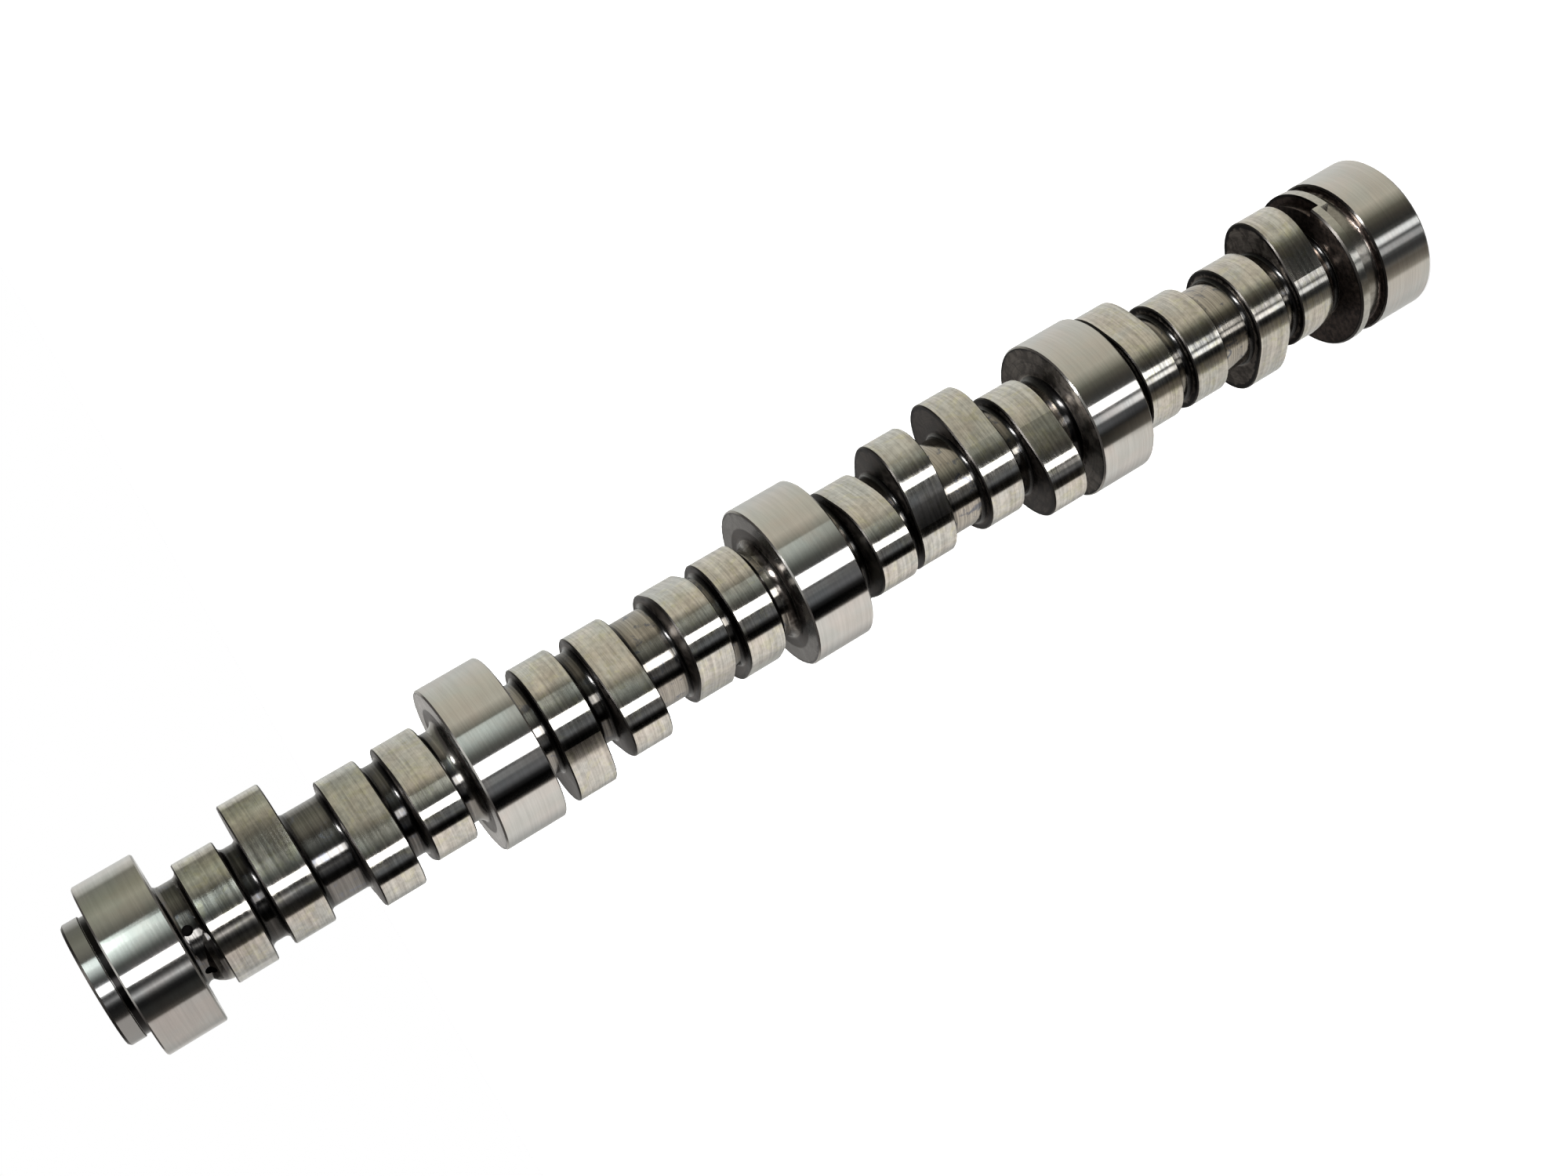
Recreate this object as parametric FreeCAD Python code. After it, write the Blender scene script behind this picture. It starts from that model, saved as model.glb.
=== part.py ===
import FreeCAD, Part
import math
import os

# Camshaft of a pushrod V8 engine with roller followers: one piece of steel,
# turned from a forging, with five equal journals, sixteen ground lobes, a
# short nose boss for the timing sprocket and a two-track sensor ring.
#
# Frame: the shaft stands on its rear journal end. The origin is the centre of
# the rear end face, +Z runs along the shaft's axis to the nose. Angles about
# +Z are counted from +X, anticlockwise seen from the nose.

# ---------------------------------------------------------------- dimensions
V = FreeCAD.Vector

# journals
JOURNAL_R = 27.5            # 55 mm journals
JOURNAL_PITCH = 111.76      # bore spacing, 4.400 in
JOURNAL_W = 20.6            # journals 2 to 4
JOURNAL_CHAMFER = 0.5
FRONT_AHEAD = 9.7           # journal 1, ahead of and behind its bore's centre
FRONT_BEHIND = 9.1
AXIS_TO_REAR = 466.5        # journal 1's bore centre above the rear end face
REAR_W = 20.6               # journal 5, from the end face forward
REAR_CHAMFER = 1.2

# nose
BOSS_R = 19.65              # sprocket pilot
BOSS_L = 5.5
BOSS_CHAMFER = 0.8
BOSS_GROOVE_W = 2.2         # grinding relief behind the pilot
BOSS_GROOVE_R = 19.1

# core between the journals
CORE_R = 15.5
FILLET = 1.7                # at the root of lobes and of journals' rear faces
FILLET_FRONT = 3.0          # at the root of journals' front faces

# lobes
LOBE_W = 13.2
BASE_R = 19.0               # base circle
LIFT = 8.0
ROLLER_R = 8.9              # follower roller
HALF_EVENT = 74.0           # degrees of shaft turn from nose to base circle
LOBE_EDGE = 0.4             # broken edges
LOBE_OFFSETS = (23.3, 42.4, 69.3, 88.4)     # behind each bay's bore centre
# nose direction of each lobe, front to rear, in degrees about +Z
LOBE_ANGLES = (113, 0, 225, 248,
               158, 225, 270, 113,
               248, 315, 0, 203,
               23, 90, 135, 338)

# sensor ring ahead of the rear journal
RING_W = 7.0
RING_GAP = 3.8              # gap between ring and rear journal
RING_R = 27.5
RING_LOW_R = 24.5           # floor of the low halves and of the gap
RING_EDGE = 0.6
GAP_FILLET = 0.9
TRACK_FRONT = (125.0, 305.0)    # raised half of the front track
TRACK_REAR = (-57.0, 127.0)     # raised half of the rear track, a little over

# flare left by the forging on the front side of lobe 1: radius and height
# above the lobe's face, about an axis moved towards FLARE_ANGLE
FLARE_ANGLE = 177.0
FLARE_OFFSET = 2.6
FLARE = ((15.6, -1.0), (15.6, 0.4), (15.4, 1.4), (14.9, 2.8),
         (14.0, 4.2), (12.8, 5.4))

# two drilled spots in the core behind journal 1
SPOT_R = 1.6
SPOT_DEPTH = 2.4
SPOT_BACK = 11.9            # behind bore 1's centre
SPOT_ANGLES = (-92.0, -147.0)

# holes in the nose: three sprocket screws, a dowel hole and a centre
SCREW_PCD_R = 13.0
SCREW_HOLE_R = 4.0          # outer size of an M8 thread
SCREW_DEPTH = 24.0
SCREW_ANGLES = (30.0, 150.0, 270.0)
DOWEL_R = 3.0
DOWEL_PCD_R = 13.5
DOWEL_ANGLE = 90.0
DOWEL_DEPTH = 9.0
CENTRE_R = 3.2
CENTRE_DEPTH = 8.0
CENTRE_MOUTH_R = 5.4


# ------------------------------------------------------------------- helpers
def turned(points):
    """Solid of revolution about Z from (radius, height) points."""
    pts = [V(r, 0, z) for r, z in points]
    pts.append(pts[0])
    face = Part.Face(Part.makePolygon(pts))
    return face.revolve(V(0, 0, 0), V(0, 0, 1), 360)


def disc(r, z0, z1, c0=0.0, c1=0.0):
    """Turned disc between two heights, with a chamfer at each edge."""
    pts = [(0, z0), (r - c0, z0)]
    if c0:
        pts.append((r, z0 + c0))
    if c1:
        pts += [(r, z1 - c1), (r - c1, z1)]
    else:
        pts.append((r, z1))
    pts.append((0, z1))
    return turned(pts)


def root(r, z, up, size=FILLET):
    """Ring that fills the root of a face at height z on a core of radius r."""
    s = 1.0 if up else -1.0
    a = V(r - 1.0, 0, z)
    b = V(r + size, 0, z)
    k = size * (1 - math.sqrt(0.5))
    m = V(r + k, 0, z + s * k)
    c = V(r, 0, z + s * size)
    d = V(r - 1.0, 0, z + s * size)
    wire = Part.Wire([Part.LineSegment(a, b).toShape(),
                      Part.Arc(b, m, c).toShape(),
                      Part.LineSegment(c, d).toShape(),
                      Part.LineSegment(d, a).toShape()])
    return Part.Face(wire).revolve(V(0, 0, 0), V(0, 0, 1), 360)


def lift(deg):
    """Follower lift and its slope per radian, at an angle from the nose."""
    x = deg / HALF_EVENT
    if abs(x) >= 1.0:
        return 0.0, 0.0
    q = 1.0 - x * x
    s = LIFT * q * q
    ds = LIFT * 2 * q * (-2 * x) / math.radians(HALF_EVENT)
    return s, ds


def contour(deg, inset):
    """Point of the ground contour under the roller, drawn in by inset."""
    s, ds = lift(deg)
    t = math.radians(deg)
    rp = BASE_R + ROLLER_R + s
    er = (math.cos(t), math.sin(t))
    et = (-math.sin(t), math.cos(t))
    tx, ty = ds * er[0] + rp * et[0], ds * er[1] + rp * et[1]
    n = math.hypot(tx, ty)
    nx, ny = ty / n, -tx / n
    px, py = rp * er[0], rp * er[1]
    return px - (ROLLER_R + inset) * nx, py - (ROLLER_R + inset) * ny


def lobe_wire(z, inset):
    """Closed contour at height z, nose along +X."""
    steps = 26
    pts = []
    for i in range(-steps, steps + 1):
        x, y = contour(HALF_EVENT * i / steps, inset)
        pts.append(V(x, y, z))
    a = math.radians(HALF_EVENT)
    t0 = V(math.sin(a), math.cos(a), 0)
    t1 = V(-math.sin(a), math.cos(a), 0)
    nose = Part.BSplineCurve()
    nose.interpolate(Points=pts, InitialTangent=t0, FinalTangent=t1)
    back = Part.Arc(pts[-1], V(-(BASE_R - inset), 0, z), pts[0])
    return Part.Wire([nose.toShape(), back.toShape()])


def lobe(zc, angle):
    """One lobe, its edges broken, turned so that the nose points to angle."""
    z0, z1 = zc - LOBE_W / 2, zc + LOBE_W / 2
    wires = [lobe_wire(z0, LOBE_EDGE), lobe_wire(z0 + LOBE_EDGE, 0.0),
             lobe_wire(z1 - LOBE_EDGE, 0.0), lobe_wire(z1, LOBE_EDGE)]
    solid = Part.makeLoft(wires, True, True)
    solid.rotate(V(0, 0, 0), V(0, 0, 1), angle)
    return solid


def sector(r0, r1, z0, z1, a0, a1):
    """Part of a flat ring between two angles."""
    outer = Part.makeCylinder(r1, z1 - z0, V(0, 0, z0), V(0, 0, 1), a1 - a0)
    inner = Part.makeCylinder(r0, z1 - z0 + 2, V(0, 0, z0 - 1))
    outer.rotate(V(0, 0, 0), V(0, 0, 1), a0)
    return outer.cut(inner)


# -------------------------------------------------------------------- turned
NOSE_Z = AXIS_TO_REAR + FRONT_AHEAD + BOSS_GROOVE_W + BOSS_L

pieces = []

# rear journal, gap and sensor ring
pieces.append(disc(JOURNAL_R, 0, REAR_W, REAR_CHAMFER, JOURNAL_CHAMFER))
z_groove = REAR_W + RING_GAP
pieces.append(disc(RING_LOW_R, REAR_W - 1, z_groove + 1))
pieces.append(root(RING_LOW_R, REAR_W, True, GAP_FILLET))
z_ring = z_groove + RING_W
ring = disc(RING_R, z_groove, z_ring, RING_EDGE, RING_EDGE)
z_mid = (z_groove + z_ring) / 2
low_front = sector(RING_LOW_R, RING_R + 2, z_mid, z_ring + 1,
                   TRACK_FRONT[1], TRACK_FRONT[0] + 360)
low_rear = sector(RING_LOW_R, RING_R + 2, z_groove - 1, z_mid,
                  TRACK_REAR[1], TRACK_REAR[0] + 360)
ring = ring.cut(low_front).cut(low_rear)
pieces.append(ring)

# core, one straight turned bar
pieces.append(Part.makeCylinder(CORE_R, AXIS_TO_REAR - z_ring + 1,
                                V(0, 0, z_ring - 1)))

# journals 1 to 4
journal_z = [AXIS_TO_REAR - JOURNAL_PITCH * i for i in range(4)]
for z in journal_z:
    z0, z1 = z - JOURNAL_W / 2, z + JOURNAL_W / 2
    if z == journal_z[0]:
        z0, z1 = z - FRONT_BEHIND, z + FRONT_AHEAD
    else:
        pieces.append(root(CORE_R, z1, True, FILLET_FRONT))
    pieces.append(disc(JOURNAL_R, z0, z1, JOURNAL_CHAMFER, JOURNAL_CHAMFER))
    pieces.append(root(CORE_R, z0, False))
pieces.append(root(CORE_R, z_ring, True))

# nose boss with its relief groove
z_face = AXIS_TO_REAR + FRONT_AHEAD
pieces.append(Part.makeCylinder(BOSS_GROOVE_R, BOSS_GROOVE_W + 2,
                                V(0, 0, z_face - 1)))
pieces.append(disc(BOSS_R, z_face + BOSS_GROOVE_W, NOSE_Z, 0.3, BOSS_CHAMFER))

# lobes
lobe_z = []
for bay in range(4):
    for off in LOBE_OFFSETS:
        lobe_z.append(journal_z[bay] - off)
for z, angle in zip(lobe_z, LOBE_ANGLES):
    pieces.append(lobe(z, angle))
    pieces.append(root(CORE_R, z + LOBE_W / 2, True))
    pieces.append(root(CORE_R, z - LOBE_W / 2, False))

# flare of the forging ahead of lobe 1
z_flare = lobe_z[0] + LOBE_W / 2
flare = turned([(0, z_flare + FLARE[0][1])]
               + [(r, z_flare + h) for r, h in FLARE]
               + [(0, z_flare + FLARE[-1][1])])
fa = math.radians(FLARE_ANGLE)
flare.translate(V(FLARE_OFFSET * math.cos(fa), FLARE_OFFSET * math.sin(fa), 0))
pieces.append(flare)

shaft = pieces[0].multiFuse(pieces[1:])
shaft = shaft.removeSplitter()

# --------------------------------------------------------------------- holes
holes = []
for a in SCREW_ANGLES:
    x = SCREW_PCD_R * math.cos(math.radians(a))
    y = SCREW_PCD_R * math.sin(math.radians(a))
    holes.append(Part.makeCylinder(SCREW_HOLE_R, SCREW_DEPTH + 1,
                                   V(x, y, NOSE_Z - SCREW_DEPTH)))
    holes.append(Part.makeCone(0.01, SCREW_HOLE_R, 2.0,
                               V(x, y, NOSE_Z - SCREW_DEPTH - 2.0)))
x = DOWEL_PCD_R * math.cos(math.radians(DOWEL_ANGLE))
y = DOWEL_PCD_R * math.sin(math.radians(DOWEL_ANGLE))
holes.append(Part.makeCylinder(DOWEL_R, DOWEL_DEPTH + 1,
                               V(x, y, NOSE_Z - DOWEL_DEPTH)))
for z, s in ((NOSE_Z, -1), (0.0, 1)):
    holes.append(Part.makeCylinder(CENTRE_R, CENTRE_DEPTH,
                                   V(0, 0, z), V(0, 0, s)))
    depth = (CENTRE_MOUTH_R - CENTRE_R) * math.tan(math.radians(60))
    holes.append(Part.makeCone(CENTRE_MOUTH_R, CENTRE_R, depth,
                               V(0, 0, z), V(0, 0, s)))
    holes.append(Part.makeCone(CENTRE_R, 0.01, 1.9,
                               V(0, 0, z + s * CENTRE_DEPTH), V(0, 0, s)))
for a in SPOT_ANGLES:
    d = V(math.cos(math.radians(a)), math.sin(math.radians(a)), 0)
    p = d * (CORE_R - SPOT_DEPTH) + V(0, 0, AXIS_TO_REAR - SPOT_BACK)
    holes.append(Part.makeCylinder(SPOT_R, SPOT_DEPTH + 8, p, d))
for h in holes:
    shaft = shaft.cut(h)

if len(shaft.Solids) != 1 or not shaft.isValid():
    raise RuntimeError("the shaft isn't one valid solid")
shaft = shaft.Solids[0]

print("overall length", round(NOSE_Z, 2), "volume cm3",
      round(shaft.Volume / 1000, 2), "kg at 7.85",
      round(shaft.Volume * 7.85e-6, 3))
print("lobe heights", [round(z, 2) for z in lobe_z])
print("ring", round(z_groove, 2), round(z_mid, 2), round(z_ring, 2),
      "face", round(z_face, 2))
print("faces", len(shaft.Faces), "valid", shaft.isValid())

os.makedirs("parts", exist_ok=True)
shaft.exportStep("parts/camshaft.step")
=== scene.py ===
import bpy
import math
from mathutils import Matrix, Vector


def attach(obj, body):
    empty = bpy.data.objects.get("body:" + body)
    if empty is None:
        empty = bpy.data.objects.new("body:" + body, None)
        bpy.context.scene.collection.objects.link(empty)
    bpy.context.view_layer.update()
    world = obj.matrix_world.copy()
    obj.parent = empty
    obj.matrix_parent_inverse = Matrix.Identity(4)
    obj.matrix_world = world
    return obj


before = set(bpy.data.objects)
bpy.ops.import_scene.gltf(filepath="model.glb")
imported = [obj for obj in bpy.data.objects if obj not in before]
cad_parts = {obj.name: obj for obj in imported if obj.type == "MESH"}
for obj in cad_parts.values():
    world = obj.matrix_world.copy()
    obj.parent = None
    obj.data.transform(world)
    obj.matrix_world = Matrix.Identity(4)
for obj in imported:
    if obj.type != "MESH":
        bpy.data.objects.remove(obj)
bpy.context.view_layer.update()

scene = bpy.context.scene
scene.view_settings.view_transform = "Standard"
scene.view_settings.look = "None"

# ------------------------------------------------------------------- geometry
# Heights in millimetres above the rear end face, as in the CAD frame.
BORE_1 = 466.5
PITCH = 111.76
NOSE = 483.9
JOURNALS = [(466.8, 9.4), (BORE_1 - PITCH, 10.3), (BORE_1 - 2 * PITCH, 10.3),
            (BORE_1 - 3 * PITCH, 10.3), (10.3, 10.3)]
LOBES = [BORE_1 - PITCH * b - o for b in range(4) for o in (23.3, 42.4, 69.3, 88.4)]
LOBE_ANGLES = (113, 0, 225, 248, 158, 225, 270, 113, 248, 315, 0, 203, 23, 90, 135, 338)
# radius of a lobe's contour by the angle from its nose, in degrees
CONTOUR = [(0, 27.0), (6.6, 26.85), (13.2, 26.39), (19.9, 25.66), (26.7, 24.68), (33.8, 23.51),
           (41.3, 22.22), (49.6, 20.91), (59.2, 19.73), (70.8, 19.04), (80, 19.0), (180, 19.0)]
CAM_SIDE = -93.24       # direction about +Z in which the camera looks at the shaft


# --------------------------------------------------------------------- camera
def make_camera():
    pan, tip, roll = math.radians(16.84), math.radians(-0.18), math.radians(-30.54)
    f = Vector((math.sin(pan) * math.cos(tip), math.cos(pan) * math.cos(tip), math.sin(tip)))
    r0 = Vector((math.cos(pan), -math.sin(pan), 0))
    u0 = r0.cross(f)
    r = r0 * math.cos(roll) + u0 * math.sin(roll)
    u = -r0 * math.sin(roll) + u0 * math.cos(roll)
    turn = math.radians(CAM_SIDE + 90)

    def row(v):
        x, y, z = v.z, v.y, -v.x
        return Vector((x * math.cos(turn) - y * math.sin(turn),
                       x * math.sin(turn) + y * math.cos(turn), z))

    at = row(Vector((17.9, -659.2, 0.0))) + Vector((0, 0, BORE_1))
    r, u, f = row(r), row(u), row(f)
    data = bpy.data.cameras.new("camera")
    data.sensor_width = 36.0
    data.lens = 36.0 * 2805 / 2000
    data.clip_start, data.clip_end = 0.01, 50.0
    cam = bpy.data.objects.new("camera", data)
    cam.matrix_world = Matrix(((r.x, u.x, -f.x, at.x / 1000),
                               (r.y, u.y, -f.y, at.y / 1000),
                               (r.z, u.z, -f.z, at.z / 1000),
                               (0, 0, 0, 1)))
    scene.collection.objects.link(cam)
    scene.camera = cam


# --------------------------------------------------------------- node helpers
class Graph:
    """Short calls for building a node tree. Inputs are numbers, vectors or sockets."""

    def __init__(self, tree):
        self.t = tree
        self.t.nodes.clear()

    def node(self, kind, **props):
        n = self.t.nodes.new(kind)
        for k, v in props.items():
            setattr(n, k, v)
        return n

    def put(self, socket, value):
        if isinstance(value, bpy.types.NodeSocket):
            self.t.links.new(value, socket)
        elif value is not None:
            socket.default_value = value

    def math(self, op, a, b=None, c=None, clamp=False):
        n = self.node("ShaderNodeMath", operation=op, use_clamp=clamp)
        for i, v in enumerate((a, b, c)):
            if v is not None:
                self.put(n.inputs[i], v)
        return n.outputs[0]

    def add(self, a, b): return self.math("ADD", a, b)
    def sub(self, a, b): return self.math("SUBTRACT", a, b)
    def mul(self, a, b, *more):
        v = self.math("MULTIPLY", a, b)
        for m in more:
            v = self.math("MULTIPLY", v, m)
        return v
    def top(self, *vals):
        v = vals[0]
        for m in vals[1:]:
            v = self.math("MAXIMUM", v, m)
        return v
    def inv(self, a): return self.math("SUBTRACT", 1.0, a)

    def step(self, v, lo, hi, a=0.0, b=1.0, smooth=True):
        """Goes from a to b as v goes from lo to hi."""
        n = self.node("ShaderNodeMapRange", interpolation_type="SMOOTHSTEP" if smooth else "LINEAR",
                      clamp=True)
        for name, val in (("Value", v), ("From Min", lo), ("From Max", hi), ("To Min", a), ("To Max", b)):
            self.put(n.inputs[name], val)
        return n.outputs["Result"]

    def near(self, v, centre, half):
        return self.math("COMPARE", v, centre, half)

    def mix(self, f, a, b):
        n = self.node("ShaderNodeMix", data_type="RGBA", clamp_factor=True)
        self.put(n.inputs[0], f)
        for s, v in ((n.inputs[6], a), (n.inputs[7], b)):
            self.put(s, (*v, 1.0) if isinstance(v, tuple) and len(v) == 3 else v)
        return n.outputs[2]

    def blend(self, f, a, b):
        n = self.node("ShaderNodeMix", data_type="FLOAT", clamp_factor=True)
        self.put(n.inputs[0], f)
        self.put(n.inputs[2], a)
        self.put(n.inputs[3], b)
        return n.outputs[0]

    def tint(self, col, k):
        """Colour times a number."""
        n = self.node("ShaderNodeVectorMath", operation="SCALE")
        self.put(n.inputs[0], col)
        self.put(n.inputs["Scale"], k)
        return n.outputs[0]

    def vec(self, x, y, z):
        n = self.node("ShaderNodeCombineXYZ")
        for s, v in zip(n.inputs, (x, y, z)):
            self.put(s, v)
        return n.outputs[0]

    def noise(self, vector, scale, detail=3.0, rough=0.5, distortion=0.0):
        n = self.node("ShaderNodeTexNoise")
        self.put(n.inputs["Vector"], vector)
        n.inputs["Scale"].default_value = scale
        n.inputs["Detail"].default_value = detail
        n.inputs["Roughness"].default_value = rough
        n.inputs["Distortion"].default_value = distortion
        return n.outputs["Fac"]

    def ramp(self, f, stops):
        n = self.node("ShaderNodeValToRGB")
        els = n.color_ramp.elements
        while len(els) > 1:
            els.remove(els[-1])
        for i, (p, c) in enumerate(stops):
            e = els[0] if i == 0 else els.new(p)
            e.position = p
            e.color = (*c, 1.0) if len(c) == 3 else (c[0], c[0], c[0], 1.0)
        self.put(n.inputs[0], f)
        return n.outputs[0]


# ---------------------------------------------------------------------- world
def make_world():
    """The studio as the steel sees it, by the direction about the shaft's axis:
    a strip light beside the camera, black flags each side of it, a warm wall on
    one side and a white table on the other."""
    world = bpy.data.worlds.new("studio")
    scene.world = world
    world.use_nodes = True
    g = Graph(world.node_tree)
    sep = g.node("ShaderNodeSeparateXYZ")
    g.put(sep.inputs[0], g.node("ShaderNodeTexCoord").outputs["Generated"])
    x, y, z = sep.outputs
    az = g.math("ARCTAN2", y, x)
    deg = g.math("WRAP", g.sub(g.math("DEGREES", az), CAM_SIDE), 180.0, -180.0)
    flat = g.math("SQRT", g.add(g.mul(x, x), g.mul(y, y)))
    elev = g.math("DEGREES", g.math("ARCTAN2", z, flat))
    turn = g.math("MULTIPLY_ADD", deg, 1 / 360, 0.5)

    def ring(stops):
        return g.ramp(turn, [(a / 360 + 0.5, c) for a, c in stops])

    level = ring([(-180, (0.64, 0.64, 0.62)), (-160, (0.62, 0.61, 0.59)), (-146, (0.46, 0.45, 0.43)),
                  (-124, (0.60, 0.57, 0.54)), (-92, (0.60, 0.56, 0.53)), (-74.5, (0.62, 0.58, 0.55)),
                  (-72.0, (0.10, 0.09, 0.08)), (-66, (0.045, 0.042, 0.038)), (-57, (0.035, 0.035, 0.033)),
                  (-49, (0.008, 0.008, 0.008)), (-44, (0.012, 0.012, 0.012)), (-40.5, (0.10, 0.10, 0.10)),
                  (-37, (0.42, 0.42, 0.42)), (-34.5, (0.95, 0.95, 0.95)), (-31.5, (0.46, 0.46, 0.46)),
                  (-28, (0.10, 0.10, 0.10)), (-25.5, (0.015, 0.015, 0.015)), (-3, (0.10, 0.10, 0.10)),
                  (3, (0.085, 0.09, 0.085)), (9, (0.11, 0.12, 0.11)), (22, (0.20, 0.21, 0.19)),
                  (40.5, (0.14, 0.14, 0.12)), (48, (0.17, 0.165, 0.135)), (60, (0.34, 0.33, 0.265)),
                  (76, (0.47, 0.47, 0.37)), (92, (0.33, 0.33, 0.25)), (118, (0.25, 0.25, 0.21)),
                  (127, (0.58, 0.58, 0.53)), (144, (0.80, 0.80, 0.76)), (180, (0.64, 0.64, 0.62))])
    low = ring([(-180, (0.52, 0.52, 0.50)), (-160, (0.44, 0.44, 0.42)), (-146, (0.50, 0.49, 0.47)),
                (-122, (0.86, 0.83, 0.79)), (-106, (0.88, 0.85, 0.80)), (-88, (0.98, 0.93, 0.88)),
                (-73, (0.96, 0.91, 0.86)), (-70.5, (0.10, 0.09, 0.08)), (-67.5, (0.004, 0.004, 0.004)),
                (-57, (0.0, 0.0, 0.0)), (-51, (0.02, 0.02, 0.021)), (-43, (0.17, 0.175, 0.185)),
                (-37, (0.14, 0.145, 0.15)), (-32, (0.08, 0.08, 0.08)), (-28, (0.12, 0.12, 0.12)),
                (-24, (0.05, 0.05, 0.05)), (0, (0.08, 0.08, 0.075)), (8, (0.12, 0.125, 0.112)),
                (24, (0.27, 0.28, 0.25)), (35, (0.26, 0.26, 0.225)), (38.5, (0.22, 0.215, 0.18)),
                (44, (0.34, 0.32, 0.265)), (56, (0.66, 0.62, 0.52)), (70, (0.64, 0.60, 0.50)),
                (92, (0.69, 0.67, 0.57)), (116, (0.73, 0.72, 0.65)), (132, (0.74, 0.74, 0.69)),
                (152, (0.66, 0.66, 0.63)), (180, (0.52, 0.52, 0.50))])
    deep = ring([(-180, (0.58, 0.58, 0.56)), (-154, (0.58, 0.58, 0.56)), (-132, (0.62, 0.61, 0.58)),
                 (-112, (0.72, 0.70, 0.66)), (-79, (0.74, 0.71, 0.64)), (-74, (0.34, 0.32, 0.27)),
                 (-67, (0.21, 0.19, 0.16)), (-57, (0.13, 0.115, 0.095)), (-51, (0.03, 0.028, 0.024)),
                 (-47, (0.0, 0.0, 0.0)), (-42, (0.0, 0.0, 0.0)), (-38, (0.05, 0.05, 0.05)),
                 (-28, (0.10, 0.10, 0.10)), (-22, (0.12, 0.12, 0.12)), (-9, (0.06, 0.06, 0.055)),
                 (-3, (0.03, 0.03, 0.028)), (8, (0.065, 0.06, 0.05)), (18, (0.14, 0.135, 0.105)),
                 (28, (0.38, 0.37, 0.30)), (38, (0.62, 0.59, 0.49)), (56, (0.62, 0.59, 0.50)),
                 (76, (0.70, 0.67, 0.58)), (100, (0.76, 0.73, 0.66)), (120, (0.78, 0.76, 0.70)),
                 (140, (0.78, 0.77, 0.73)), (180, (0.58, 0.58, 0.56))])
    side = g.step(deg, -6.0, 6.0)
    room = g.mix(g.blend(side, g.step(elev, 0.4, -4.4), g.step(elev, -2.0, -8.0)), level, low)
    room = g.mix(g.blend(side, g.step(elev, -25.2, -28.4), g.step(elev, -12.0, -30.0)), room, deep)
    # below the lights' reach, and above the table's horizon
    room = g.mix(g.step(elev, -38.0, -55.0), room, (0.22, 0.21, 0.20))
    above = ring([(-180, (0.60, 0.58, 0.56)), (-150, (0.62, 0.60, 0.57)), (-110, (0.66, 0.62, 0.58)),
                  (-78, (0.64, 0.60, 0.57)), (-72, (0.10, 0.09, 0.08)), (-64, (0.02, 0.02, 0.02)),
                  (-44, (0.02, 0.02, 0.02)), (-33, (0.16, 0.16, 0.16)), (-26, (0.10, 0.10, 0.10)),
                  (0, (0.10, 0.10, 0.10)), (38, (0.16, 0.16, 0.15)), (48, (0.22, 0.215, 0.19)),
                  (60, (0.27, 0.265, 0.23)), (100, (0.27, 0.265, 0.23)), (126, (0.36, 0.35, 0.31)),
                  (150, (0.64, 0.63, 0.59)), (180, (0.60, 0.58, 0.56))])
    room = g.mix(g.step(elev, 1.5, 5.0), room, above)
    room = g.mix(g.step(elev, 17.0, 27.0), room, (0.13, 0.12, 0.115))
    # soft light overhead, on the nose's side
    room = g.mix(g.step(elev, 62.0, 74.0), room, (0.95, 0.95, 0.93))

    # strip light along the shaft, just under the camera, narrower and dimmer
    # towards the rear
    upper = g.add(g.step(elev, -3.5, -7.5, -5.5, -3.3), g.step(elev, -9.0, -13.0, 0.0, -1.3))
    upper = g.add(upper, g.add(g.step(elev, -18.2, -20.5, 0.0, -4.4), g.step(elev, -26.0, -34.0, 0.0, -2.4)))
    lower = g.add(g.step(elev, -4.0, -8.0, -19.5, -22.7), g.step(elev, -21.0, -25.5, 0.0, 2.0))
    strength = g.add(g.step(elev, -26.5, -27.6, 5.5, 0.34), g.step(elev, -31.8, -32.6, 0.0, 0.78))
    soft = g.step(elev, -26.5, -28.0, 0.8, 3.0)
    strip = g.mul(g.step(deg, g.sub(lower, soft), g.add(lower, soft)),
                  g.inv(g.step(g.sub(deg, upper), g.mul(soft, -1.0), soft)),
                  g.step(elev, 40.0, 30.0), g.step(elev, -60.0, -45.0), strength)
    # second, thinner strip under it, brightest at the rear
    line = g.add(g.step(elev, -24.8, -25.4, 0.0, 0.45), g.step(elev, -26.5, -27.4, 0.0, 1.25))
    line = g.mul(line, g.step(elev, -31.8, -32.8, 1.0, 0.20))
    line = g.add(line, g.add(g.mul(g.near(elev, -8.1, 1.1), 0.26), g.mul(g.near(elev, -17.3, 1.1), 0.16)))
    line = g.mul(line, g.step(deg, -37.8, -33.2), g.step(deg, -23.5, -29.5))
    line = g.add(line, g.mul(g.step(elev, -32.0, -32.8), g.step(deg, -60.0, -54.0), g.step(deg, -35.0, -40.0), 0.055))
    # window beside the strip, in three panes along the shaft and a small one above
    panes = g.add(g.mul(g.near(elev, 1.7, 1.35), 0.86), g.add(g.mul(g.near(elev, -8.1, 1.1), 0.80),
                                                 g.mul(g.near(elev, -17.3, 1.1), 0.48)))
    high = g.step(elev, 2.5, 2.9)
    panes = g.mul(g.add(panes, g.mul(high, g.step(deg, 23.0, 29.0, 2.3, 4.0))), g.step(elev, 8.0, 6.0))
    panes = g.mul(panes, g.step(deg, 4.0, g.blend(high, 33.0, 30.0)),
                  g.inv(g.step(g.sub(deg, g.mul(high, 4.5)), 36.0, 38.6)))
    dot = g.mul(g.step(deg, 22.5, 26.0), g.step(deg, 39.5, 36.0), g.step(elev, 26.0, 30.0),
                g.step(elev, 61.0, 57.0), 60.0)
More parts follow.
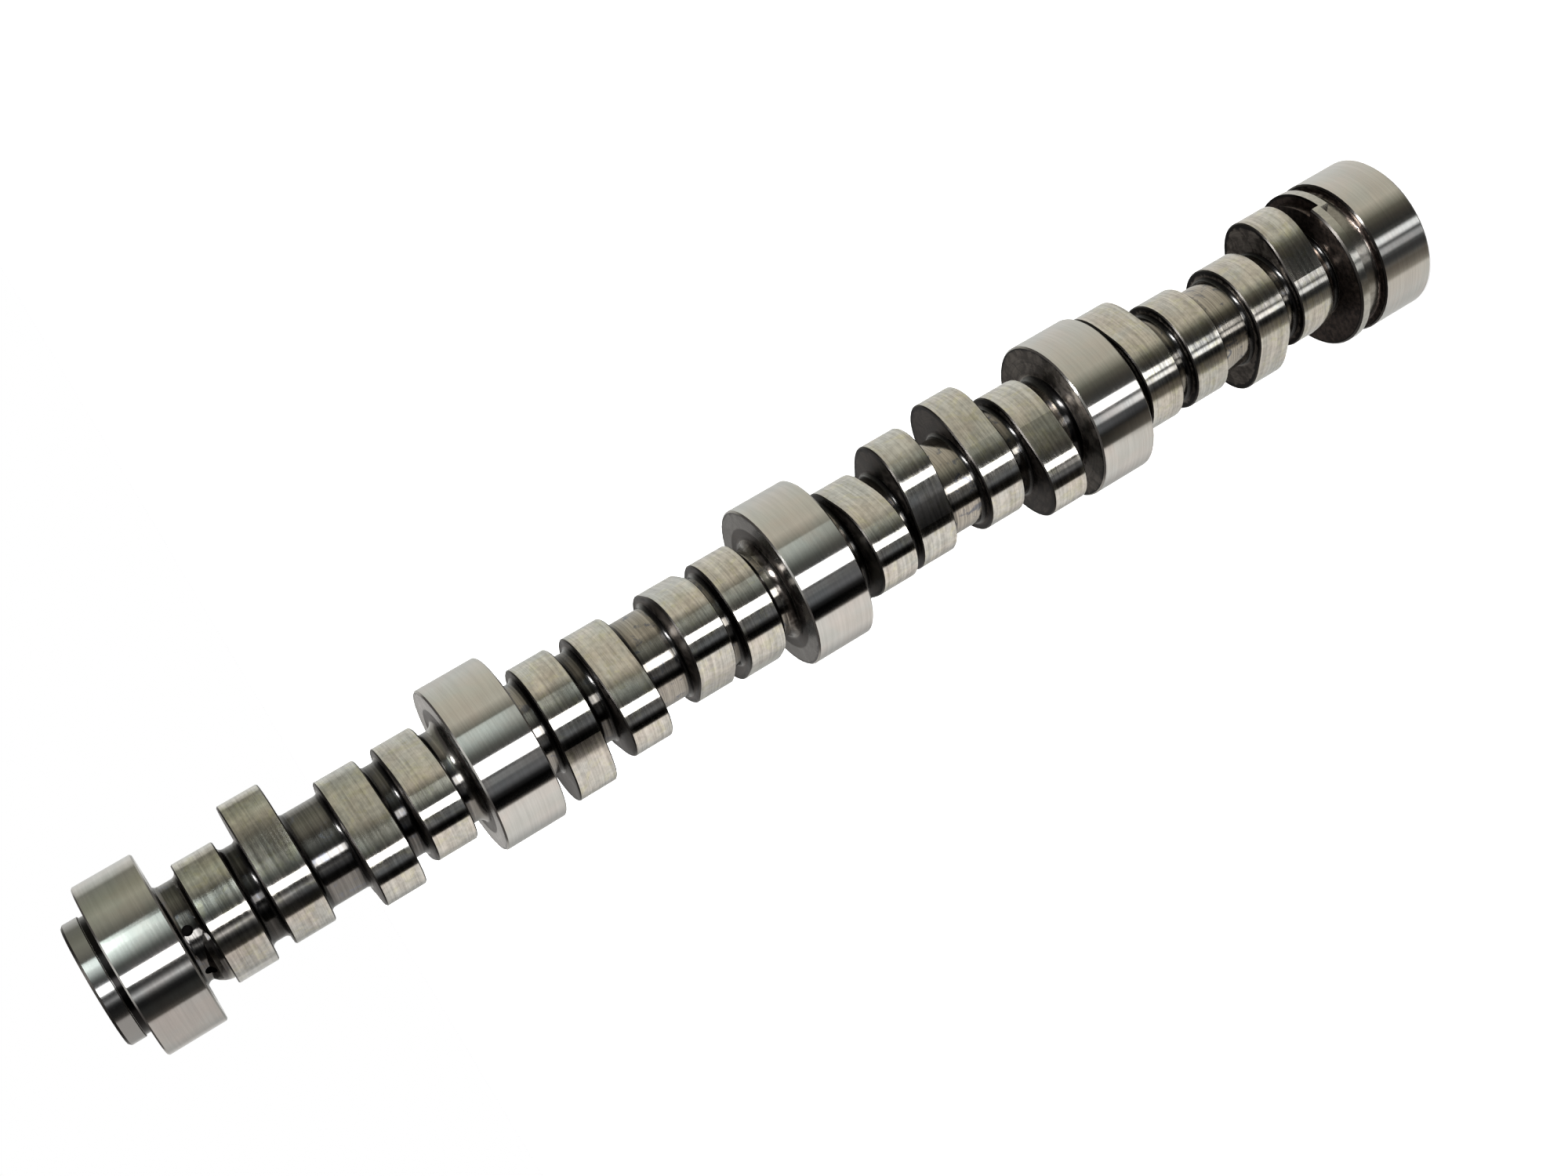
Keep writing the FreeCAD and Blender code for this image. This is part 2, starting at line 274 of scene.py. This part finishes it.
    # the same behind the shaft, out of the camera's sight
    back = g.mul(g.step(g.math("ABSOLUTE", deg), 172.0, 174.0), g.step(elev, 2.0, -2.0), g.step(elev, -60.0, -45.0))
    light = g.add(g.add(g.add(strip, line), dot), g.mul(back, 0.35))
    total = g.node("ShaderNodeVectorMath", operation="ADD")
    g.put(total.inputs[0], room)
    g.put(total.inputs[1], g.vec(g.add(light, g.mul(panes, 0.92)), g.add(light, g.mul(panes, 1.02)),
                                 g.add(light, g.mul(panes, 0.98))))

    seen = g.node("ShaderNodeBackground")
    seen.inputs["Color"].default_value = (1, 1, 1, 1)
    seen.inputs["Strength"].default_value = 1.0
    lit = g.node("ShaderNodeBackground")
    g.put(lit.inputs["Color"], total.outputs[0])
    lit.inputs["Strength"].default_value = 1.0
    pick = g.node("ShaderNodeMixShader")
    g.put(pick.inputs[0], g.node("ShaderNodeLightPath").outputs["Is Camera Ray"])
    g.put(pick.inputs[1], lit.outputs[0])
    g.put(pick.inputs[2], seen.outputs[0])
    g.put(g.node("ShaderNodeOutputWorld").inputs[0], pick.outputs[0])
    world.cycles.sampling_method = "MANUAL"
    world.cycles.sample_map_resolution = 2048


# ------------------------------------------------------------------- material
def make_steel():
    """Ground, turned and dark steel of one shaft, told apart by where a point
    is and which way it faces, with painted shade on the fillet roots, the
    drilled spots and the core beside and between the lobes."""
    mat = bpy.data.materials.new("shaft_steel")
    mat.use_nodes = True
    g = Graph(mat.node_tree)
    mm = g.node("ShaderNodeVectorMath", operation="SCALE")
    g.put(mm.inputs[0], g.node("ShaderNodeTexCoord").outputs["Object"])
    mm.inputs["Scale"].default_value = 1000.0
    p = mm.outputs[0]
    sep = g.node("ShaderNodeSeparateXYZ")
    g.put(sep.inputs[0], p)
    x, y, z = sep.outputs
    r = g.math("SQRT", g.add(g.mul(x, x), g.mul(y, y)))
    nsep = g.node("ShaderNodeSeparateXYZ")
    g.put(nsep.inputs[0], g.node("ShaderNodeTexCoord").outputs["Normal"])
    nz = g.math("ABSOLUTE", nsep.outputs[2])

    # distance of a point from the middle of its lobe
    off = 99.0
    for c in LOBES:
        off = g.math("MINIMUM", off, g.math("ABSOLUTE", g.sub(z, c)))

    # how far inside the outline of its lobe or journal a point of a face lies
    names = g.node("ShaderNodeValToRGB")
    names.color_ramp.interpolation = "CONSTANT"
    els = names.color_ramp.elements
    while len(els) > 1:
        els.remove(els[-1])
    order = sorted(zip(LOBES, LOBE_ANGLES))
    for i, (c, a) in enumerate(order):
        e = els[0] if i == 0 else els.new((c - 8.5) / 500)
        e.color = (a / 360, a / 360, a / 360, 1.0)
    g.put(names.inputs[0], g.mul(z, 1 / 500))
    az = g.math("DIVIDE", g.math("ARCTAN2", y, x), 2 * math.pi)
    turn = g.math("ABSOLUTE", g.math("WRAP", g.sub(az, names.outputs[0]), 0.5, -0.5))
    lobe_r = g.mul(g.ramp(turn, [(a / 360, (q / 30, q / 30, q / 30)) for a, q in CONTOUR]), 30.0)
    rim = g.sub(g.blend(g.step(off, 8.0, 8.4), lobe_r, 27.5), r)

    # zones
    journal = 0.0
    for c, h in JOURNALS:
        journal = g.add(journal, g.near(z, c, h + 0.02))
    journal = g.mul(journal, g.step(r, 21.0, 21.6, smooth=False))
    outer = g.step(r, 17.6, 18.2)
    round_ = g.inv(g.step(nz, 0.30, 0.55))
    face = g.step(nz, 0.86, 0.97)
    spot = g.mul(g.near(z, 454.6, 2.2), g.inv(g.step(r, 15.30, 15.42)))
    flare = g.mul(g.near(z, 453.4, 3.4), g.inv(outer))
    boss = g.near(z, 481.2, 3.0)
    ring = g.near(z, 27.9, 3.6)
    # mask of the narrow gaps between paired lobes, used for painted shade on the core
    narrow = 0.0
    for i in range(0, len(LOBES), 2):
        narrow = g.add(narrow, g.near(z, (LOBES[i] + LOBES[i + 1]) / 2, 3.4))
    recess = g.add(g.mul(g.near(z, 26.0, 5.5), g.inv(g.step(r, 26.2, 26.6))), g.near(z, 477.3, 1.05))
    ground = g.mul(outer, round_, g.inv(recess))
    edge = g.mul(outer, g.step(nz, 0.30, 0.55), g.inv(face), g.inv(recess))
    core = g.mul(g.inv(outer), g.inv(g.step(nz, 0.03, 0.16)))
    root = g.mul(g.inv(outer), g.step(nz, 0.03, 0.16), g.inv(face), g.inv(flare))

    # patterns: grinding lines run round the shaft, so they vary along z
    lines = g.noise(g.vec(g.mul(x, 0.035), g.mul(y, 0.035), g.mul(z, 1.15)), 1.0, 3.0, 0.62)
    fine = g.noise(g.vec(g.mul(x, 0.05), g.mul(y, 0.05), g.mul(z, 6.0)), 1.0, 2.0, 0.6)
    turned = g.noise(g.vec(g.mul(x, 0.03), g.mul(y, 0.03), g.mul(z, 2.2)), 1.0, 4.0, 0.7)
    facing = g.noise(g.vec(g.mul(r, 2.2), g.mul(z, 0.3), 0.0), 1.0, 3.0, 0.6)
    cloud = g.noise(p, 0.09, 3.0, 0.55, 0.4)
    patch = g.noise(p, 0.28, 4.0, 0.6, 0.6)
    speck = g.noise(p, 2.6, 3.0, 0.7)
    blot = g.noise(p, 0.55, 3.0, 0.6)

    lobe_c = g.mix(g.step(cloud, 0.36, 0.64), (0.590, 0.590, 0.562), (0.638, 0.600, 0.548))
    lobe_c = g.mix(g.step(patch, 0.50, 0.66, 0.0, 0.7), lobe_c, (0.622, 0.605, 0.475))
    jour_c = g.mix(g.step(cloud, 0.36, 0.64), (0.585, 0.590, 0.575), (0.615, 0.590, 0.565))
    ground_c = g.mix(journal, lobe_c, jour_c)
    k = g.add(g.step(lines, 0.30, 0.70, 0.78, 1.14), g.step(fine, 0.25, 0.75, -0.07, 0.07))
    k = g.add(k, g.step(blot, 0.35, 0.65, -0.10, 0.08))
    k_j = g.add(g.step(lines, 0.30, 0.70, 0.94, 1.05), g.step(fine, 0.25, 0.75, -0.025, 0.025))
    ground_c = g.tint(ground_c, g.blend(journal, k, k_j))
    ground_c = g.mix(ring, ground_c, g.mix(g.step(blot, 0.4, 0.6), (0.460, 0.458, 0.428), (0.540, 0.532, 0.494)))
    ground_c = g.mix(boss, ground_c, (0.400, 0.400, 0.395))
    edge_c = g.mix(g.mul(journal, g.step(z, 100.0, 101.0)), (0.060, 0.056, 0.052), (0.40, 0.39, 0.37))

    core_c = g.mix(g.step(z, 400.0, 250.0), (0.205, 0.197, 0.188), (0.430, 0.400, 0.355))
    core_c = g.mix(g.step(patch, 0.54, 0.66), core_c, (0.192, 0.198, 0.222))
    core_c = g.tint(core_c, g.add(g.step(turned, 0.3, 0.7, 0.72, 1.24), g.step(speck, 0.55, 0.75, 0.0, -0.20)))
    # painted shade: the core is darkened close beside each lobe's sides
    core_c = g.tint(core_c, g.step(off, 9.6, 8.8, 1.0, 0.60))
    # painted shade: the core in the narrow gaps between paired lobes is darkened, less in the gap at 387.6 mm
    core_c = g.tint(core_c, g.inv(g.mul(narrow, g.sub(g.step(z, 200.0, 300.0, 0.40, 0.62),
                                                      g.mul(g.near(z, 387.6, 4.0), 0.32)))))
    # painted shade: the core in the gap between the first journal and the first lobe is darker
    core_c = g.tint(core_c, g.step(z, 449.0, 451.0, 1.0, 0.74))
    mottle = g.step(patch, 0.40, 0.62)
    side_c = g.mix(mottle, (0.030, 0.025, 0.023), (0.085, 0.074, 0.066))
    side_c = g.mix(g.step(z, 150.0, 140.0), side_c, g.mix(mottle, (0.080, 0.070, 0.062), (0.200, 0.180, 0.160)))
    jside_c = g.mix(g.step(patch, 0.36, 0.68), (0.250, 0.240, 0.225), (0.520, 0.515, 0.495))
    jside_c = g.tint(jside_c, g.step(z, 260.0, 340.0, 0.38, 1.0))
    side_c = g.mix(g.mul(journal, g.step(z, 140.0, 150.0)), side_c, jside_c)
    side_c = g.tint(side_c, g.step(facing, 0.3, 0.7, 0.80, 1.18))
    rim = g.add(g.add(rim, g.mul(journal, 0.7)), g.step(patch, 0.3, 0.7, -0.4, 0.4))
    side_c = g.mix(g.step(rim, 2.1, 1.5), side_c, (0.010, 0.009, 0.009))
    # the two ends and the thrust face are clean turned faces
    ends = g.top(g.step(z, 470.0, 471.0), g.step(z, 2.0, 1.0))
    end_c = g.mix(g.step(patch, 0.45, 0.70, 0.0, 0.5), (0.440, 0.430, 0.410), (0.330, 0.310, 0.280))
    side_c = g.mix(ends, side_c, g.tint(end_c, g.step(facing, 0.3, 0.7, 0.84, 1.12)))
    # fillet roots: near-black, partly dark unground steel and partly painted shade in the corners; the front fillets
    # of the second and third journals are lighter
    root_c = g.mix(g.step(speck, 0.4, 0.6), (0.0225, 0.0220, 0.0218), (0.0425, 0.0418, 0.0412))
    root_c = g.mix(g.near(z, 366.4, 2.2), root_c, (0.300, 0.290, 0.270))
    root_c = g.mix(g.near(z, 254.8, 2.6), root_c, g.mix(mottle, (0.060, 0.052, 0.046), (0.220, 0.205, 0.190)))
    recess_c = g.mix(g.step(blot, 0.34, 0.68), (0.042, 0.034, 0.031), (0.135, 0.106, 0.093))
    low_c = g.mix(g.step(blot, 0.32, 0.68), (0.262, 0.248, 0.224), (0.345, 0.331, 0.304))
    recess_c = g.mix(g.mul(g.near(z, 24.6, 3.25), g.inv(g.step(nz, 0.3, 0.6))), recess_c, low_c)
    recess_c = g.mix(g.near(z, 477.3, 1.05), recess_c, (0.014, 0.013, 0.013))

    col = g.mix(ground, core_c, ground_c)
    col = g.mix(root, col, root_c)
    col = g.mix(face, col, side_c)
    col = g.mix(recess, col, recess_c)
    col = g.mix(edge, col, edge_c)
    # painted shade: the insides of the two drilled spots near the front are near-black
    col = g.mix(spot, col, (0.012, 0.011, 0.011))

    near_edge = g.step(off, 4.2, 6.5)
    rough_l = g.add(g.step(lines, 0.3, 0.7, 0.085, 0.110), g.mul(near_edge, 0.05))
    rough_j = g.step(cloud, 0.3, 0.7, 0.085, 0.105)
    rough = g.blend(journal, rough_l, rough_j)
    rough = g.blend(ground, g.step(patch, 0.3, 0.7, 0.095, 0.150), rough)
    rough = g.blend(root, rough, 0.20)
    rough = g.blend(face, rough, g.step(patch, 0.3, 0.7, 0.34, 0.44))
    rough = g.blend(g.mul(face, journal, g.step(z, 140.0, 150.0)), rough, g.step(patch, 0.3, 0.7, 0.20, 0.28))
    rough = g.blend(g.mul(face, ends), rough, g.step(facing, 0.3, 0.7, 0.22, 0.30))
    rough = g.blend(recess, rough, g.step(nz, 0.3, 0.6, 0.20, 0.30))
    rough = g.blend(edge, rough, g.blend(journal, 0.40, 0.18))
    rough = g.blend(spot, rough, 0.60)

    h_ground = g.add(g.mul(lines, 0.0006), g.mul(fine, 0.0003))
    h_core = g.mul(g.add(g.mul(turned, 0.0060), g.mul(speck, 0.0030)), g.step(z, 340.0, 380.0, 1.0, 0.45))
    h_core = g.mul(h_core, g.blend(root, 1.0, 0.30))
    h_side = g.add(g.mul(facing, 0.0070), g.mul(speck, 0.0040))
    height = g.blend(ground, h_core, h_ground)
    height = g.blend(face, height, h_side)
    bump = g.node("ShaderNodeBump")
    bump.inputs["Strength"].default_value = 1.0
    bump.inputs["Distance"].default_value = 0.001
    g.put(bump.inputs["Height"], height)

    tangent = g.node("ShaderNodeTangent", direction_type="RADIAL", axis="Z")
    bsdf = g.node("ShaderNodeBsdfPrincipled")
    g.put(bsdf.inputs["Base Color"], col)
    bsdf.inputs["Metallic"].default_value = 1.0
    g.put(bsdf.inputs["Roughness"], rough)
    bsdf.inputs["Anisotropic"].default_value = 0.6
    bsdf.inputs["Anisotropic Rotation"].default_value = 0.25
    g.put(bsdf.inputs["Tangent"], tangent.outputs[0])
    g.put(bsdf.inputs["Normal"], bump.outputs[0])
    g.put(g.node("ShaderNodeOutputMaterial").inputs[0], bsdf.outputs[0])
    return mat


# -------------------------------------------------------------------- threads
def make_threads(mat):
    """The M8 threads in the three holes of the nose."""
    pitch, crest, per_turn, depth = 1.25, 3.35, 40, 21.5
    turns = depth / pitch
    steps = int(turns * per_turn)
    for i, angle in enumerate((30.0, 150.0, 270.0)):
        cx = 13.0 * math.cos(math.radians(angle))
        cy = 13.0 * math.sin(math.radians(angle))
        verts, faces = [], []
        for k in range(steps + 1):
            t = k / per_turn
            a = 2 * math.pi * t
            h = min(1.0, 0.15 + t / 0.9, 0.15 + (turns - t) / 0.7)
            tip = 4.0 - (4.0 - crest) * h
            z = NOSE - 0.75 - t * pitch
            for q, dz in ((4.03, 0.54), (tip, 0.15), (tip, -0.15), (4.03, -0.54)):
                w = dz * (0.4 + 0.6 * h)
                verts.append(((cx + q * math.cos(a)) / 1000, (cy + q * math.sin(a)) / 1000,
                              (z + w) / 1000))
            if k:
                b = 4 * k
                for j in range(4):
                    m = (j + 1) % 4
                    faces.append((b - 4 + j, b + j, b + m, b - 4 + m))
        faces.append((0, 1, 2, 3))
        e = len(verts) - 4
        faces.append((e + 3, e + 2, e + 1, e))
        me = bpy.data.meshes.new("thread_%d" % (i + 1))
        me.from_pydata(verts, [], faces)
        me.materials.append(mat)
        ob = bpy.data.objects.new("thread_%d" % (i + 1), me)
        scene.collection.objects.link(ob)
        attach(ob, "root")


def make_thread_steel():
    """Bright cut steel with fine lines along the thread."""
    mat = bpy.data.materials.new("thread_steel")
    mat.use_nodes = True
    g = Graph(mat.node_tree)
    mm = g.node("ShaderNodeVectorMath", operation="SCALE")
    g.put(mm.inputs[0], g.node("ShaderNodeTexCoord").outputs["Object"])
    mm.inputs["Scale"].default_value = 1000.0
    n = g.noise(mm.outputs[0], 1.6, 4.0, 0.6)
    bsdf = g.node("ShaderNodeBsdfPrincipled")
    g.put(bsdf.inputs["Base Color"], g.mix(g.step(n, 0.35, 0.65), (0.40, 0.385, 0.36), (0.26, 0.25, 0.235)))
    bsdf.inputs["Metallic"].default_value = 1.0
    g.put(bsdf.inputs["Roughness"], g.step(n, 0.35, 0.65, 0.24, 0.38))
    g.put(g.node("ShaderNodeOutputMaterial").inputs[0], bsdf.outputs[0])
    return mat


# ---------------------------------------------------------------------- stage
def make_stage():
    mat = bpy.data.materials.new("floor_pale")
    mat.use_nodes = True
    g = Graph(mat.node_tree)
    bsdf = g.node("ShaderNodeBsdfPrincipled")
    bsdf.inputs["Base Color"].default_value = (0.86, 0.86, 0.86, 1)
    bsdf.inputs["Roughness"].default_value = 0.9
    bsdf.inputs["Specular IOR Level"].default_value = 0.0
    g.put(g.node("ShaderNodeOutputMaterial").inputs[0], bsdf.outputs[0])
    me = bpy.data.meshes.new("floor")
    s = 6.0
    me.from_pydata([(-s, -s, 0), (s, -s, 0), (s, s, 0), (-s, s, 0)], [], [(0, 1, 2, 3)])
    me.materials.append(mat)
    floor = bpy.data.objects.new("floor", me)
    scene.collection.objects.link(floor)
    floor.visible_glossy = False        # the steel sees the lights, not the floor
    floor.visible_shadow = False

    data = bpy.data.lights.new("overhead", "SUN")
    data.energy = 3.4
    data.angle = math.radians(70)
    data.use_shadow = False
    lamp = bpy.data.objects.new("overhead", data)
    lamp.visible_glossy = False
    scene.collection.objects.link(lamp)


make_camera()
make_world()
make_stage()
steel = make_steel()
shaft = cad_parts["camshaft"]
shaft.material_slots[0].link = "OBJECT"
shaft.material_slots[0].material = steel
make_threads(make_thread_steel())
